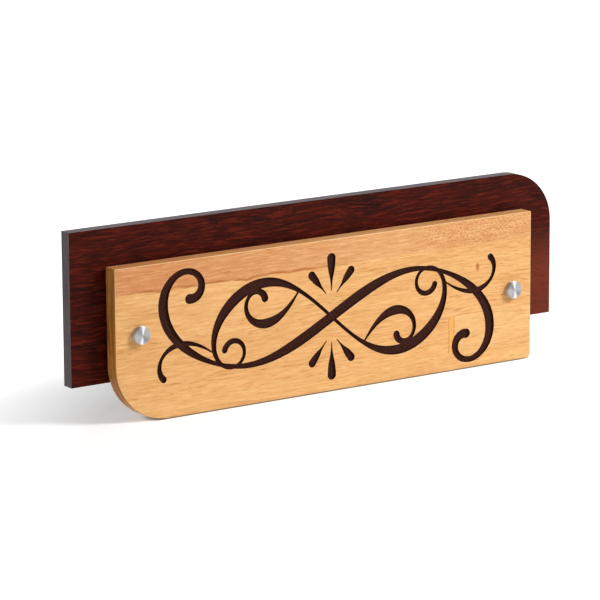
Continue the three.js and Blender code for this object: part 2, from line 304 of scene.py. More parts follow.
def planed_rubberwood(name, shift, tint, tint_share, marks):
    """Rubberwood, planed, sanded and oiled: honey bands along the board, mottled grain 1 to 2 mm high and
    about 15 mm long, straight fibres, and short open pores, drawn twice their real width so that they show.
    marks draws what only one stave has. The end grain has upright rings. Broken edges carry a painted
    highlight where they look up or aside, and painted shade where they look down."""
    material, tree = blank_material(name)
    still = millimetre_coordinates(tree)
    grain = bent_grain(tree, millimetre_coordinates(tree, shift), 2.6, 0.3)
    bands = stretched_noise(tree, grain, (0.005, 0.09, 0.09), 3.0)
    mottle = stretched_noise(tree, grain, (0.06, 0.62, 0.62), 5.0, 0.68)
    fibres = stretched_noise(tree, grain, (0.016, 0.8, 0.8), 3.0, 0.6)
    pores = stretched_noise(tree, grain, (0.085, 1.15, 1.15), 2.0, 0.6)
    crowd = stretched_noise(tree, grain, (0.014, 0.06, 0.06), 2.0)
    finish = laid_over(tree, "honey", "amber", bands, 0.36, 0.68, 0.6)
    tinted = add(tree, "ShaderNodeMix", {0: tint_share, 6: finish, 7: tone(tint)}, data_type="RGBA")
    finish = laid_over(tree, tinted.outputs[2], "cream_and_painted_highlight", mottle, 0.48, 0.70, 0.6)
    finish = laid_over(tree, finish, "amber", mottle, 0.48, 0.30, 0.5)
    finish = laid_over(tree, finish, "amber", fibres, 0.48, 0.30, 0.5)
    open_pores = add(tree, "ShaderNodeMapRange", [pores, 0.57, 0.68])
    crowded = add(tree, "ShaderNodeMapRange", [crowd, 0.36, 0.58, 0.35])
    pore_share = add(tree, "ShaderNodeMath", [open_pores, crowded], operation="MULTIPLY")
    finish = laid_over(tree, finish, "vessel", pore_share, most=0.55)
    if marks:
        finish = marks(tree, still, grain, finish)
    rings = stretched_noise(tree, millimetre_coordinates(tree, (7, 3, 11)), (0.3, 0.75, 0.05), 4.0, 0.65)
    end = laid_over(tree, "end_grain_and_painted_shade", "end_ring", rings, 0.36, 0.64)
    finish = laid_over(tree, finish, end, facing(tree, "X"))
    # Painted highlight on broken edges that look up or aside, and painted shade on those that look down
    normal = add(tree, "ShaderNodeNewGeometry").outputs["True Normal"]
    upward = add(tree, "ShaderNodeSeparateXYZ", [normal]).outputs["Z"]
    arris = laid_over(tree, "cream_and_painted_highlight", "end_grain_and_painted_shade", upward, -0.2, -0.5)
    finish = laid_over(tree, finish, arris, arris_share(tree), most=0.7)
    shade_wood(tree, finish, mottle, mottle, 0.3)
    return material


def shade_wood(tree, finish, shine, relief, specular):
    """Ends a wood: one pattern turns its sheen from dull to soft, and another stands out as fine relief."""
    dull, soft = 0.58, 0.46
    roughness = add(tree, "ShaderNodeMapRange", [shine, NOISE_LOW, NOISE_HIGH, dull, soft])
    bump = add(tree, "ShaderNodeBump", {"Height": relief, "Strength": 0.15, "Distance": 0.08 * MM})
    shade(tree, {"Base Color": finish, "Roughness": roughness, "Normal": bump,
                 "Specular IOR Level": specular})


def stave_limits():
    """Where the seams and the end joint of the pale board lie, in millimetres."""
    top_low, top_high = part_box("front_stave_top")
    lower_low, lower_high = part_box("front_stave_lower_left")
    right_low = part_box("front_stave_lower_right")[0]
    finger = bpy.context.scene.plate_boards.finger_length
    return {
        "left": top_low.x / MM, "right": top_high.x / MM, "top": top_high.z / MM,
        "top_seam": top_low.z / MM, "lower_seam": lower_high.z / MM, "bottom_seam": lower_low.z / MM,
        "joint": (right_low.x + finger / 2) / MM,
    }


def seam_streak(tree, still, finish):
    """The brown mineral streak that wanders along the seam below the top stave."""
    limits = stave_limits()
    height = add(tree, "ShaderNodeSeparateXYZ", [still]).outputs["Z"]
    sway = stretched_noise(tree, still, (0.03, 0.0, 0.0), 2.0)
    bend = add(tree, "ShaderNodeMapRange", [sway, NOISE_LOW, NOISE_HIGH, -1.6, 1.6])
    bent = add(tree, "ShaderNodeMath", [height, bend], operation="ADD")
    share = near_plane(tree, bent, limits["top_seam"], 1.5)
    gaps = stretched_noise(tree, still, (0.06, 0.3, 0.5), 3.0)
    broken = add(tree, "ShaderNodeMapRange", [gaps, 0.36, 0.52])
    run = soft_patch(tree, still, (limits["left"] + 100, 0, limits["top_seam"]), (125, THROUGH, 30))
    for part in (broken, run):
        share = add(tree, "ShaderNodeMath", [share, part], operation="MULTIPLY")
    return laid_over(tree, finish, "vessel", share, most=0.8)


def top_stave_marks(tree, still, grain, finish):
    """A patch of crowded short flecks at the right end, a deeper left end and the seam's streak."""
    limits = stave_limits()
    flecks = stretched_noise(tree, grain, (0.45, 1.1, 1.1), 2.0, 0.6)
    crowded = add(tree, "ShaderNodeMapRange", [flecks, 0.53, 0.62])
    patch = soft_patch(tree, still, (limits["right"] - 50, 0, limits["top"] - 8), (82, THROUGH, 17))
    share = add(tree, "ShaderNodeMath", [crowded, patch], operation="MULTIPLY")
    finish = laid_over(tree, finish, "vessel", share, most=0.8)
    along = add(tree, "ShaderNodeSeparateXYZ", [still]).outputs["X"]
    fading = add(tree, "ShaderNodeMapRange", [along, limits["left"] + 20, limits["left"] + 250, 0.9, 0.0])
    blushed = add(tree, "ShaderNodeMix", {0: fading, 6: finish, 7: tone("blush")}, data_type="RGBA",
                  blend_type="MULTIPLY")
    return seam_streak(tree, still, blushed.outputs[2])


def middle_stave_marks(tree, still, grain, finish):
    """One pin knot near the right end, and the seam's streak."""
    limits = stave_limits()
    centre = (limits["right"] - 54, 0, limits["top_seam"] - 18.5)
    knot = soft_patch(tree, still, centre, (2.3, THROUGH, 3.6))
    return seam_streak(tree, still, laid_over(tree, finish, "vessel", knot, most=0.8))


def lower_stave_marks(tree, still, grain, finish):
    """The plain strip that the finger joint shows, between its two thin lines."""
    joint = stave_limits()["joint"]
    half = bpy.context.scene.plate_boards.finger_length / MM / 2
    along = add(tree, "ShaderNodeSeparateXYZ", [still]).outputs["X"]
    strip = near_plane(tree, along, joint, half + 0.6)
    finish = laid_over(tree, finish, "glue_line", strip, most=0.8)
    lines = [near_plane(tree, along, joint + side * half, 0.8) for side in (-1, 1)]
    both = add(tree, "ShaderNodeMath", [lines[0], lines[1]], operation="MAXIMUM")
    return laid_over(tree, finish, "amber", both, most=0.95)


# Each stave's shift of the pattern in millimetres, its tint, the tint's share and its marks, if it has any
STAVE_WOODS = {
    "top": ((31, 17, 53), "rose_tan", 0.65, top_stave_marks),
    "middle": ((0, 5, 0), "honey", 0.2, middle_stave_marks),
    "lower_left": ((60, 9, 14), "honey", 0.35, lower_stave_marks),
    "lower_right": ((-40, 21, 77), "cream_and_painted_highlight", 0.3, lower_stave_marks),
    "bottom": ((-90, 40, -23), "cream_and_painted_highlight", 0.2, None),
}


def scorched_groove():
    """Rubberwood burnt and stained where the scroll was routed: a matt dark brown floor with the cutter's
    slanting passes about 3 mm apart, and nearly black walls, which are painted shade."""
    material, tree = blank_material("scorched_rubberwood_groove")
    place = millimetre_coordinates(tree)
    char = stretched_noise(tree, place, (0.35, 0.6, 0.6), 3.0, 0.7)
    passes = add(tree, "ShaderNodeTexWave", {
        "Vector": place, "Scale": 0.16, "Distortion": 1.2, "Detail": 2.0,
    }, bands_direction="DIAGONAL").outputs["Fac"]
    finish = laid_over(tree, "groove", "scorch", char, 0.35, 0.7, 0.5)
    finish = laid_over(tree, finish, "scorch", passes, most=0.35)
    # Painted shade: the groove's walls, which look aside, take the near-black colour
    finish = laid_over(tree, "scorch", finish, facing(tree, "Y"))
    relief = add(tree, "ShaderNodeBump", {"Height": passes, "Strength": 0.3, "Distance": 0.15 * MM})
    shade(tree, {"Base Color": finish, "Roughness": 0.8, "Normal": relief,
                 "Specular IOR Level": 0.12})
    return material


def stained_mahogany():
    """Mahogany, sanded and stained dark: red and black streaks about 2 mm high along the board, broken by
    fine pores, and a redder patch at the lower right. The sawn edges took little stain and look mauve grey,
    and the stain stands nearly black along the arrises."""
    material, tree = blank_material("stained_mahogany")
    still = millimetre_coordinates(tree)
    place = millimetre_coordinates(tree, (13, 29, 12))
    grain = bent_grain(tree, place, 3.0, 0.35)
    streaks = stretched_noise(tree, grain, (0.032, 0.40, 0.40), 5.0, 0.66)
    clouds = stretched_noise(tree, grain, (0.014, 0.05, 0.05), 3.0)
    embers = stretched_noise(tree, grain, (0.055, 0.6, 0.6), 4.0, 0.66)
    pores = stretched_noise(tree, grain, (0.14, 1.2, 1.2), 2.0, 0.6)
    low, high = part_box("back_board")
    lower_right = soft_patch(tree, still, (high.x / MM + 5, 0, low.z / MM - 5), (120, THROUGH, 84))
    finish = laid_over(tree, "mahogany", "umber", streaks, 0.40, 0.68, 0.75)
    finish = laid_over(tree, finish, "umber", clouds, 0.48, 0.66, 0.6)
    finish = laid_over(tree, finish, "russet", lower_right, most=0.75)
    finish = laid_over(tree, finish, "ember", embers, 0.48, 0.70, 0.55)
    finish = laid_over(tree, finish, "umber", pores, 0.55, 0.7, 0.5)
    layers = stretched_noise(tree, place, (0.05, 0.9, 0.05), 3.0, 0.6)
    edge = laid_over(tree, "dark_end", "umber", layers, 0.35, 0.7, 0.55)
    finish = laid_over(tree, edge, finish, facing(tree, "Y"))
    finish = laid_over(tree, finish, "umber", arris_share(tree), most=0.85)
    shade_wood(tree, finish, streaks, pores, 0.07)
    return material


def turned_stainless():
    """Stainless steel, faced on a lathe: the tool's rings run round the centre, so the shine spreads across
    them and a bright wedge stands above and below the middle."""
    material, tree = blank_material("turned_stainless_steel")
    across = add(tree, "ShaderNodeUVMap", uv_map="turning")
    rings = stretched_noise(tree, across, (400.0, 0.0, 0.0), 2.0)
    sheen = add(tree, "ShaderNodeMapRange", [rings, NOISE_LOW, NOISE_HIGH, 0.44, 0.54])
    outward = add(tree, "ShaderNodeTangent", direction_type="UV_MAP", uv_map="turning")
    shade(tree, {"Base Color": tone("steel"), "Metallic": 1.0, "Roughness": sheen,
                 "Anisotropic": 0.9, "Tangent": outward})
    return material


def zinc_plate():
    """Pressed steel, zinc plated: a soft grey shine with faint cloudy patches a few millimetres wide."""
    material, tree = blank_material("zinc_plated_steel")
    clouds = stretched_noise(tree, millimetre_coordinates(tree), (0.35, 0.35, 0.35), 4.0, 0.6)
    finish = laid_over(tree, "zinc", tone("zinc", 0.72), clouds, 0.35, 0.65)
    sheen = add(tree, "ShaderNodeMapRange", [clouds, NOISE_LOW, NOISE_HIGH, 0.3, 0.48])
    shade(tree, {"Base Color": finish, "Metallic": 1.0, "Roughness": sheen})
    return material


def punched_rubber():
    """Black rubber sheet, punched: matt, with a fine dusty bloom."""
    material, tree = blank_material("punched_black_rubber")
    bloom = stretched_noise(tree, millimetre_coordinates(tree), (1.2, 1.2, 1.2), 3.0)
    finish = laid_over(tree, "rubber", tone("rubber", 2.6), bloom, 0.4, 0.7)
    shade(tree, {"Base Color": finish, "Roughness": 0.85})
    return material


def clear_vinyl():
    """Soft clear vinyl, die cut: milky at its edge, with a dull shine."""
    material, tree = blank_material("die_cut_clear_vinyl")
    milk = stretched_noise(tree, millimetre_coordinates(tree), (0.8, 0.8, 0.8), 2.0)
    finish = laid_over(tree, "vinyl", tone("vinyl", 0.85), milk, 0.35, 0.65)
    shade(tree, {"Base Color": finish, "Roughness": 0.4, "Transmission Weight": 0.35})
    return material


# Shapes

def arc(centre, radius, start, end, steps):
    """Points of an arc, with its angles in degrees."""
    angles = [math.radians(start + (end - start) * step / steps) for step in range(steps + 1)]
    return [(centre[0] + radius * math.cos(a), centre[1] + radius * math.sin(a)) for a in angles]


def front_outline(low, high):
    """The front board's outline in X and Z, anticlockwise, with its two lower corners rounded."""
    sizes = bpy.context.scene.plate_boards
    left, right = sizes.front_radius, sizes.front_small_radius
    return [
        *arc((low.x + left, low.z + left), left, 180, 270, sizes.arc_steps),
        *arc((high.x - right, low.z + right), right, 270, 360, sizes.arc_steps),
        (high.x, high.z), (low.x, high.z),
    ]


def prism(points, front, back):
    """A closed bmesh of an X-Z outline between two depths."""
    shape = bmesh.new()
    near = [shape.verts.new((x, front, z)) for x, z in points]
    far = [shape.verts.new((x, back, z)) for x, z in points]
    shape.faces.new(near)
    shape.faces.new(list(reversed(far)))
    count = len(points)
    for place in range(count):
        after = (place + 1) % count
        shape.faces.new((near[place], far[place], far[after], near[after]))
    bmesh.ops.recalc_face_normals(shape, faces=shape.faces)
    return shape


def break_edges(shape, width):
    """Rounds every sharp edge by a small width."""
    sharp_angle = math.radians(50)
    round_off(shape, [edge for edge in shape.edges if edge.calc_face_angle(0) > sharp_angle], width)


def round_off(shape, edges, width):
    """Rounds some edges by a small width."""
    bmesh.ops.bevel(shape, geom=edges, offset=width, segments=2, profile=0.5, affect="EDGES",
                    clamp_overlap=True)


def eased(values, share):
    """A smooth curve through evenly spaced values, at a share of the way through them."""
    place = share * (len(values) - 1)
    low = min(int(place), len(values) - 2)
    nearby = [values[max(0, min(len(values) - 1, low + step))] for step in (-1, 0, 1, 2)]
    before, first, second, after = nearby
    t = place - low
    slope = second - before
    curve = 2 * before - 5 * first + 4 * second - after
    twist = 3 * first - before - 3 * second + after
    return first + (slope * t + curve * t ** 2 + twist * t ** 3) / 2


def pen_stroke(start, heading, reach, bends, widths):
    """Cross-sections (x, z, angle, half width) of a pen stroke, in millimetres. bends are degrees turned
    per millimetre and widths are millimetres, both at equal shares of its length. Both ends are rounded."""
    steps = 120
    step_length = reach / steps
    x, z = start
    angle = math.radians(heading)
    middle = []
    for step in range(steps + 1):
        share = step / steps
        middle.append((x, z, angle, eased(widths, share) / 2))
        angle += math.radians(eased(bends, share)) * step_length
        x += math.cos(angle) * step_length
        z += math.sin(angle) * step_length
    return round_end(middle[0], -1)[::-1] + middle + round_end(middle[-1], 1)


def round_end(section, way):
    """Narrowing cross-sections that close a stroke's end with all but the tip of a half disc."""
    steps = 8
    last_turn = math.radians(88)
    x, z, angle, half = section
    sections = []
    for step in range(1, steps + 1):
        turn = step / steps * last_turn
        ahead = way * half * math.sin(turn)
        sections.append((x + ahead * math.cos(angle), z + ahead * math.sin(angle), angle,
                         half * math.cos(turn)))
    return sections


def scroll_strokes():
    """The engraved scroll: two long stems that cross in the middle and curl at their ends, with inner
    curls, tendrils and fans of drops. Each stroke is given once and repeated after half a turn."""
    strokes = [
        pen_stroke((0, 0), 28, 262, [0, -0.3, -0.75, -0.55, -1.4, -3.0, -6.6],
                   [8.6, 8.6, 5.4, 3.4, 6.8, 8.8, 5.0, 7.8]),
        pen_stroke((0, 0), -42, 217, [0, 0.5, 1.3, 1.0, 2.1, 5.0, 6.6],
                   [2.8, 3.4, 7.8, 9.0, 4.6, 2.8, 5.2]),
        pen_stroke((31, -24.6), 54, 93, [-0.4, -1.45, -3.1, -4.8, -8.2], [1.4, 4.4, 7.8, 4.8, 3.4, 6.2]),
        pen_stroke((111, 14), -36, 70, [0.6, 1.6, 3.0, 5.2], [1.2, 3.0, 4.6, 3.0, 5.4]),
    ]
    fan_foot, gap = 13, 8
    for heading, reach, width in [(90, 26, 8.0), (130, 21, 6.8), (50, 21, 6.8)]:
        angle = math.radians(heading)
        start = (gap * math.cos(angle), fan_foot + gap * math.sin(angle))
        strokes.append(pen_stroke(start, heading, reach, [0, 0], [0.8, width * 0.3, width * 0.8, width]))
    turned = [[(-x, -z, angle + math.pi, half) for x, z, angle, half in stroke] for stroke in strokes]
    return strokes + turned


def stroke_cutter(sections, centre, front, back):
    """A closed prism over one stroke's cross-sections, between two depths."""
    shape = bmesh.new()
    rows = []
    for x, z, angle, half in sections:
        row = []
        for side, depth in ((1, front), (-1, front), (-1, back), (1, back)):
            off_x = -math.sin(angle) * half * side
            off_z = math.cos(angle) * half * side
            row.append(shape.verts.new((centre[0] + (x + off_x) * MM, depth, centre[1] + (z + off_z) * MM)))
        rows.append(row)
    for first, second in zip(rows, rows[1:]):
        for corner in range(4):
            after = (corner + 1) % 4
            shape.faces.new((first[corner], first[after], second[after], second[corner]))
    shape.faces.new(rows[0])
    shape.faces.new(list(reversed(rows[-1])))
    return mesh_from(shape, "stroke_cutter")


def hole_cutter(centre, radius, front, back):
    """A round rod along Y that bores a screw's hole."""
    steps = 32
    ring = arc(centre, radius, 0, 360, steps)[:-1]
    return mesh_from(prism(ring, front, back), "hole_cutter")


def cut_away(made, cutters):
    """Cuts several closed shapes out of an object, and keeps the cutters' material on the new faces."""
    group = bpy.data.collections.new("cutters")
    bpy.context.scene.collection.children.link(group)
    for cutter in cutters:
        group.objects.link(cutter)
    cut = made.modifiers.new("cut", "BOOLEAN")
    cut.operation = "DIFFERENCE"
    cut.solver = "EXACT"
    cut.operand_type = "COLLECTION"
    cut.collection = group
    cut.material_mode = "TRANSFER"
    apply_modifiers(made)
    for cutter in cutters:
        bpy.data.objects.remove(cutter)
    bpy.data.collections.remove(group)


def part_between(whole, name, low, high):
    """A copy of a board's part between two corners, in X and Z, with its cut faces closed."""
    shape = bmesh.new()
    shape.from_mesh(whole.data)
    planes = [((low[0], 0, 0), (-1, 0, 0)), ((high[0], 0, 0), (1, 0, 0)),
              ((0, 0, low[1]), (0, 0, -1)), ((0, 0, high[1]), (0, 0, 1))]
    for point, outward in planes:
        everything = shape.verts[:] + shape.edges[:] + shape.faces[:]
        cut = bmesh.ops.bisect_plane(shape, geom=everything, dist=1e-7, plane_co=point, plane_no=outward,
                                     clear_outer=True)
        edges = [item for item in cut["geom_cut"] if isinstance(item, bmesh.types.BMEdge)]
        if edges:
            bmesh.ops.triangle_fill(shape, edges=edges, use_beauty=True)
    mesh = bpy.data.meshes.new(name)
    shape.to_mesh(mesh)
    shape.free()
    made = link_object(name, mesh)
    for material in whole.data.materials:
        mesh.materials.append(material)
    return made


def lathe(name, profile, centre, steps):
    """A closed solid turned about a line along Y, from (radius, depth) points that start and end on the
    axis, with a map named turning: its first direction runs along the profile, in decimetres, and its
    second once round."""
    shape = bmesh.new()
    turning = shape.loops.layers.uv.new("turning")
    travelled = [0.0]
    for (radius, depth), (next_radius, next_depth) in zip(profile, profile[1:]):
        travelled.append(travelled[-1] + math.hypot(next_radius - radius, next_depth - depth) / DECIMETRE)
    rings = []
    for radius, depth in profile:
        if radius == 0:
            rings.append([shape.verts.new((centre[0], depth, centre[1]))] * steps)
            continue
        ring = arc(centre, radius, 0, 360, steps)[:-1]
        rings.append([shape.verts.new((x, depth, z)) for x, z in ring])
    for row, (first, second) in enumerate(zip(rings, rings[1:])):
        for step in range(steps):
            after = (step + 1) % steps
            corners = [(first[step], step, row), (first[after], step + 1, row),
                       (second[after], step + 1, row + 1), (second[step], step, row + 1)]
            if first[0] is first[1]:
                corners = [corners[0], corners[2], corners[3]]
            elif second[0] is second[1]:
                corners = corners[:3]
            face = shape.faces.new([corner[0] for corner in corners])
            for loop, (_, across, along) in zip(face.loops, corners):
                loop[turning].uv = (travelled[along], across / steps)
    return mesh_from(shape, name)


# Wood screws by Geometry Nodes

def screw_tree():
    """A node tree that puts a countersunk wood screw at each point, pointing along the given rotation."""
    tree = bpy.data.node_groups.new("countersunk_wood_screws", "GeometryNodeTree")
    sockets = {}
    measures = ["Length", "Shank Radius", "Head Radius", "Thread Pitch", "Thread Height", "Recess Width"]
    # The geometry comes first, where a modifier looks for it
    kinds = {
        "Geometry": "Geometry", **dict.fromkeys(measures, "Float"), "Turn": "Vector", "Finish": "Material",
    }
    for name, kind in kinds.items():
        sockets[name] = tree.interface.new_socket(name, in_out="INPUT", socket_type=f"NodeSocket{kind}")
    tree.interface.new_socket("Geometry", in_out="OUTPUT", socket_type="NodeSocketGeometry")
    given = add(tree, "NodeGroupInput").outputs
    # Each line is a measure made from those before it
    sums = [
        ("Head", "SUBTRACT", "Head Radius", "Shank Radius"),
        ("Arm Depth", "MULTIPLY", "Head", 1.3),
        ("Arm Reach", "MULTIPLY", "Head Radius", 1.15),
        ("Tip", "MULTIPLY", "Shank Radius", 1.5),
        ("Core", "SUBTRACT", "Shank Radius", "Thread Height"),
        ("Below Head", "SUBTRACT", "Length", "Head"),
        ("Straight", "SUBTRACT", "Below Head", "Tip"),
        ("Half Way", "MULTIPLY", "Straight", 0.5),
        ("Shank Middle", "ADD", "Head", "Half Way"),
        ("Threaded", "MULTIPLY", "Straight", 0.75),
        ("Turns", "DIVIDE", "Threaded", "Thread Pitch"),
        ("Plain", "SUBTRACT", "Straight", "Threaded"),
        ("Thread Start", "ADD", "Head", "Plain"),
        ("Tip Start", "ADD", "Head", "Straight"),
    ]
    sizes = {name: given[name] for name in measures}
    for name, operation, first, second in sums:
        inputs = {0: sizes[first], 1: sizes.get(second, second)}
        sizes[name] = add(tree, "ShaderNodeMath", inputs, operation=operation)
    head_steps, shank_steps = 40, 24
    head = add(tree, "GeometryNodeMeshCone", {
        "Vertices": head_steps, "Radius Top": sizes["Shank Radius"], "Radius Bottom": sizes["Head Radius"],
        "Depth": sizes["Head"],
    })
    recessed = add(tree, "GeometryNodeMeshBoolean", {"Mesh 1": head}, operation="DIFFERENCE", solver="EXACT")
    for wide, narrow in (("X", "Y"), ("Y", "X")):
        size = add(tree, "ShaderNodeCombineXYZ", {
            wide: sizes["Arm Reach"], narrow: sizes["Recess Width"], "Z": sizes["Arm Depth"],
        })
        arm = add(tree, "GeometryNodeMeshCube", {"Size": size})
        tree.links.new(arm.outputs["Mesh"], recessed.inputs["Mesh 2"])
    shank = add(tree, "GeometryNodeMeshCylinder", {
        "Vertices": shank_steps, "Radius": sizes["Core"], "Depth": sizes["Straight"],
    })
    point = add(tree, "GeometryNodeMeshCone", {
        "Vertices": shank_steps, "Radius Top": 0.0, "Radius Bottom": sizes["Core"], "Depth": sizes["Tip"],
    })
    helix = add(tree, "GeometryNodeCurveSpiral", {
        "Resolution": shank_steps, "Rotations": sizes["Turns"], "Start Radius": sizes["Core"],
        "End Radius": sizes["Core"], "Height": sizes["Threaded"],
    })
    ridge = add(tree, "GeometryNodeCurvePrimitiveCircle", {
        "Resolution": 3, "Radius": sizes["Thread Height"],
    })
    thread = add(tree, "GeometryNodeCurveToMesh", {
        "Curve": helix, "Profile Curve": ridge, "Fill Caps": True,
    })
    whole = add(tree, "GeometryNodeJoinGeometry", [recessed])
    for piece, height in ((shank, "Shank Middle"), (point, "Tip Start"), (thread, "Thread Start")):
        offset = add(tree, "ShaderNodeCombineXYZ", {"Z": sizes[height]})
        moved = add(tree, "GeometryNodeTransform", {
            "Geometry": piece.outputs["Mesh"], "Translation": offset,
        })
        tree.links.new(moved.outputs[0], whole.inputs[0])
    turn = add(tree, "FunctionNodeEulerToRotation", [given["Turn"]])
    placed = add(tree, "GeometryNodeInstanceOnPoints", {
        "Points": given["Geometry"], "Instance": whole, "Rotation": turn,
    })
    real = add(tree, "GeometryNodeRealizeInstances", [placed])
    dressed = add(tree, "GeometryNodeSetMaterial", {"Geometry": real, "Material": given["Finish"]})
    add(tree, "NodeGroupOutput", [dressed])
    return tree, sockets


def grow_screws(name, tree, sockets, points, values):
    """Grows screws at the given points and leaves a plain mesh."""
    mesh = bpy.data.meshes.new(name)
    mesh.from_pydata(points, [], [])
    made = link_object(name, mesh)
    grower = made.modifiers.new("screws", "NODES")
    grower.node_group = tree
    for socket, value in values.items():
        grower[sockets[socket].identifier] = value
    apply_modifiers(made)
    return made


# Operators

class PLATE_OT_front_board(bpy.types.Operator):
    """Makes the pale board with its engraved scroll, parted into its glued staves"""
    bl_idname = "plate.front_board"
    bl_label = "Front board"

    def execute(self, context):
        sizes = context.scene.plate_boards
        engraving = context.scene.plate_engraving
        limits = stave_limits()
        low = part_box("front_stave_bottom")[0].copy()
        low.x = limits["left"] * MM
        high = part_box("front_stave_top")[1]
        shape = prism(front_outline(low, high), low.y, high.y)
        break_edges(shape, sizes.arris)
        board = mesh_from(shape, "front_board")
        woods = {stave: planed_rubberwood(f"planed_rubberwood_{stave}", *made_as)
                 for stave, made_as in STAVE_WOODS.items()}
        board.data.materials.append(woods["bottom"])
        centre = (low.x + engraving.centre_from_left, low.z + engraving.centre_height)
        groove = scorched_groove()
        strokes = [stroke_cutter(sections, centre, low.y - MM, low.y + engraving.depth)
                   for sections in scroll_strokes()]
        for cutter in strokes:
            cutter.data.materials.append(groove)
        cut_away(board, strokes)
        for side in SIDES:
            screw_low, screw_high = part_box(f"{side}_board_screw")
            middle = (screw_low + screw_high) / 2
            cutter = hole_cutter((middle.x, middle.z), context.scene.plate_fixings.hole_radius,
                                 low.y - MM, high.y + MM)
            cutter.data.materials.append(woods["bottom"])
            cut_away(board, [cutter])
        joint = (limits["joint"] * MM) - sizes.finger_length / 2
        far_left, far_right = low.x - MM, high.x + MM
        seams = [limits[name] * MM for name in ("bottom_seam", "lower_seam", "top_seam")]
        spaces = {
            "top": ((far_left, seams[2]), (far_right, high.z + MM)),
            "middle": ((far_left, seams[1]), (far_right, seams[2])),
            "lower_left": ((far_left, seams[0]), (joint, seams[1])),
            "lower_right": ((joint, seams[0]), (far_right, seams[1])),
            "bottom": ((far_left, low.z - MM), (far_right, seams[0])),
        }
        for stave, (near, far) in spaces.items():
            made = part_between(board, f"pale_stave_{stave}", near, far)
            made.data.materials[0] = woods[stave]
            settle(made, [f"front_stave_{stave}"])
        bpy.data.objects.remove(board)
        return {"FINISHED"}


class PLATE_OT_back_board(bpy.types.Operator):
    """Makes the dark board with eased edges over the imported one, recesses and all"""
    bl_idname = "plate.back_board"
    bl_label = "Back board"

    def execute(self, context):
        same_place = 1e-6
        flat_angle, sharp_angle = math.radians(1), 1.0
        shape = bmesh.new()
        shape.from_mesh(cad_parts["back_board"].data)
        bmesh.ops.remove_doubles(shape, verts=shape.verts, dist=same_place)
        bmesh.ops.dissolve_limit(shape, angle_limit=flat_angle, verts=shape.verts, edges=shape.edges)
        low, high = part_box("back_board")
        outer = []
        for edge in shape.edges:
            depths = [vert.co.y for vert in edge.verts]
            at_face = all(min(abs(y - low.y), abs(y - high.y)) < same_place for y in depths)
            level = abs(depths[0] - depths[1]) < same_place
            sharp = edge.calc_face_angle(0) > sharp_angle
            if at_face and level and sharp and self.on_outline(edge, low, high):
                outer.append(edge)
        round_off(shape, outer, context.scene.plate_boards.arris)
        made = mesh_from(shape, "dark_board")
        made.data.materials.append(stained_mahogany())
        settle(made, ["back_board"])
        return {"FINISHED"}

    @staticmethod
    def on_outline(edge, low, high):
        """True where an edge follows the board's outer outline and not a hole or recess."""
        radius = bpy.context.scene.plate_boards.back_radius
        slack = 0.2 * MM
        for vert in edge.verts:
            x, z = vert.co.x, vert.co.z
            from_corner = math.hypot(x - (high.x - radius), z - (high.z - radius))
            straight = min(x - low.x, high.x - x, z - low.z, high.z - z) < slack
            if not straight and abs(from_corner - radius) > slack:
                return False
        return True


class PLATE_OT_caps(bpy.types.Operator):
    """Turns the two stainless caps"""
    bl_idname = "plate.caps"
    bl_label = "Caps"

    def execute(self, context):
        steel = turned_stainless()
        sizes = context.scene.plate_fixings
        edge, rim = sizes.cap_edge, sizes.cap_rim
        edge_steps, turn_steps = 6, 96
        sharp_angle = math.radians(35)
        for side in SIDES:
            low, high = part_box(f"{side}_cap")
            radius = (high.x - low.x) / 2
            centre = ((low.x + high.x) / 2, (low.z + high.z) / 2)
            disc_low, disc_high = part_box(f"{side}_base_disc")
            bore = (disc_high.x - disc_low.x) / 2 + sizes.cap_clearance
            bore_end = low.y + sizes.cap_face
            rounded = arc((radius - edge, low.y + edge), edge, -90, 0, edge_steps)
            face = [(radius * share, low.y) for share in (0, 0.3, 0.7)]
            profile = [*face, *rounded, (radius, high.y - rim), (radius - rim, high.y), (bore, high.y),
                       (bore, bore_end), (0, bore_end)]
            made = lathe(f"turned_cap_{side}", profile, centre, turn_steps)
            made.data.materials.append(steel)
            for face in made.data.polygons:
                face.use_smooth = True
            made.data.set_sharp_from_angle(angle=sharp_angle)
            settle(made, [f"{side}_cap"], f"{side}_cap")
        return {"FINISHED"}


class PLATE_OT_plain_fittings(bpy.types.Operator):
    """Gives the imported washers, base discs, spacers and hangers their finishes"""
    bl_idname = "plate.plain_fittings"
    bl_label = "Washers, discs, spacers and hangers"

    def execute(self, context):
        zinc = zinc_plate()
        finishes = {
            "base_disc": zinc, "hanger": zinc, "spacer": punched_rubber(), "cap_washer": clear_vinyl(),
        }
        for side in SIDES:
            for node, material in finishes.items():
                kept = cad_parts[f"{side}_{node}"].data
                kept.materials.clear()
                kept.materials.append(material)
        return {"FINISHED"}


class PLATE_OT_screws(bpy.types.Operator):
    """Grows the threaded screws of the boards and of the hangers"""
    bl_idname = "plate.screws"
    bl_label = "Screws"

    def execute(self, context):
        tree, sockets = screw_tree()
        sizes = context.scene.plate_fixings
        finish = bpy.data.materials["zinc_plated_steel"]
        kinds = [
            ("board_screws", [f"{side}_board_screw" for side in SIDES], 1, sizes.board_shank),
            ("hanger_screws", [f"{side}_hanger_screw_{row}" for side in SIDES for row in HANGER_ROWS], -1,
             sizes.hanger_shank),
        ]
        for name, nodes, way, shank in kinds:
            points = []
            for node in nodes:
                low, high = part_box(node)
                head_y = low.y if way > 0 else high.y
                points.append(((low.x + high.x) / 2, head_y, (low.z + high.z) / 2))
            low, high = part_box(nodes[0])
            made = grow_screws(name, tree, sockets, points, {
                "Length": high.y - low.y,
                "Shank Radius": shank,
                "Head Radius": (high.x - low.x) / 2,
                "Thread Pitch": sizes.thread_pitch,
                "Thread Height": sizes.thread_height,
                "Recess Width": sizes.recess_width,
                "Turn": (-way * math.pi / 2, 0, 0),
                "Finish": finish,
            })
            settle(made, nodes)
        return {"FINISHED"}


